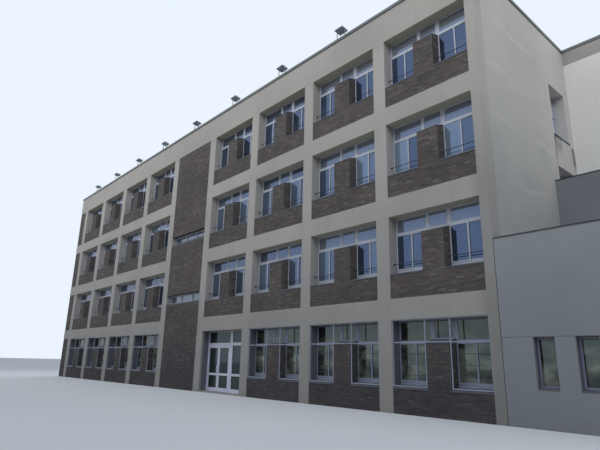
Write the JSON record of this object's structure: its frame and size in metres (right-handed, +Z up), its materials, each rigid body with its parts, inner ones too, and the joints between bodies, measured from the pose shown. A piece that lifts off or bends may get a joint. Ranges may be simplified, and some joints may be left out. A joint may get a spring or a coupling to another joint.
{
  "type": "school building",
  "caption": "Concrete-framed school block with deep brick-and-window bays, a stair bay, glazed entrance doors, parapet floodlights, a rear wing and a low annex.",
  "frame": {"origin": "on the ground, in the middle of the main block's plan", "axes": "+Z up, the entrance front faces -Y, +X runs along the front to the annex"},
  "size_m": [39.94, 13.4233, 14.7481],
  "materials": {
    "render": "matte render",
    "annex_render": "matte render",
    "brick": "rough brick",
    "sill": "smooth cast sill",
    "concrete": "matte concrete",
    "white_frame": "satin white coating",
    "grey_frame": "satin grey coating",
    "glass": "clear",
    "bar": "dark paint",
    "grille": "white paint",
    "coping": "grey-green coating",
    "lamp": "grey paint"
  },
  "bodies": {
    "building": {"ground_slabs": "concrete", "floor_slabs": "concrete", "roof_slabs": "concrete", "low_roof_slabs": "concrete", "front_bands": "render", "front_columns": "render", "front_spandrels": "brick", "front_piers": "brick", "stair_panels": "brick", "end_strip_panels": "brick", "window_sills": "sill", "front_window_frames": "white_frame", "front_window_glass": "glass", "stair_window_frames": "white_frame", "stair_window_glass": "glass", "guard_bars": "bar", "ground_storey_grilles": "grille", "entrance_threshold": "concrete", "entrance_posts": "white_frame", "entrance_rails": "white_frame", "entrance_glass": "glass", "frame_hinges": "white_frame", "left_end_wall": "render", "right_end_wall": "render", "right_end_infill": "render", "end_window_frames": "white_frame", "end_window_glass": "glass", "rear_bands": "render", "rear_columns": "render", "rear_spandrels": "brick", "rear_window_frames": "white_frame", "rear_window_glass": "glass", "wing_front_wall": "render", "wing_party_wall": "render", "annex_front_wall": "annex_render", "annex_wall_piers": "annex_render", "annex_party_wall": "annex_render", "annex_window_frames": "grey_frame", "annex_window_glass": "glass", "low_copings": "bar", "room_front_wall": "annex_render", "room_end_wall": "annex_render", "long_parapets": "render", "end_parapets": "render", "long_copings": "coping", "end_copings": "coping", "floodlight_heads": "lamp", "floodlight_brackets": "lamp"},
    "left_leaf": {"left_door_leaf": "white_frame", "left_door_glass": "glass", "left_door_fittings": "white_frame"},
    "right_leaf": {"right_door_leaf": "white_frame", "right_door_glass": "glass", "right_door_fittings": "white_frame"}
  },
  "joints": [
    {"name": "left_leaf_swing", "type": "hinge", "parent": "building", "child": "left_leaf", "pos_m": [2.973, -6.21, 1], "axis": [0, 0, -1], "range_deg": [0, 90]},
    {"name": "right_leaf_swing", "type": "hinge", "parent": "building", "child": "right_leaf", "pos_m": [4.753, -6.21, 1], "axis": [0, 0, 1], "range_deg": [0, 90]}
  ]
}
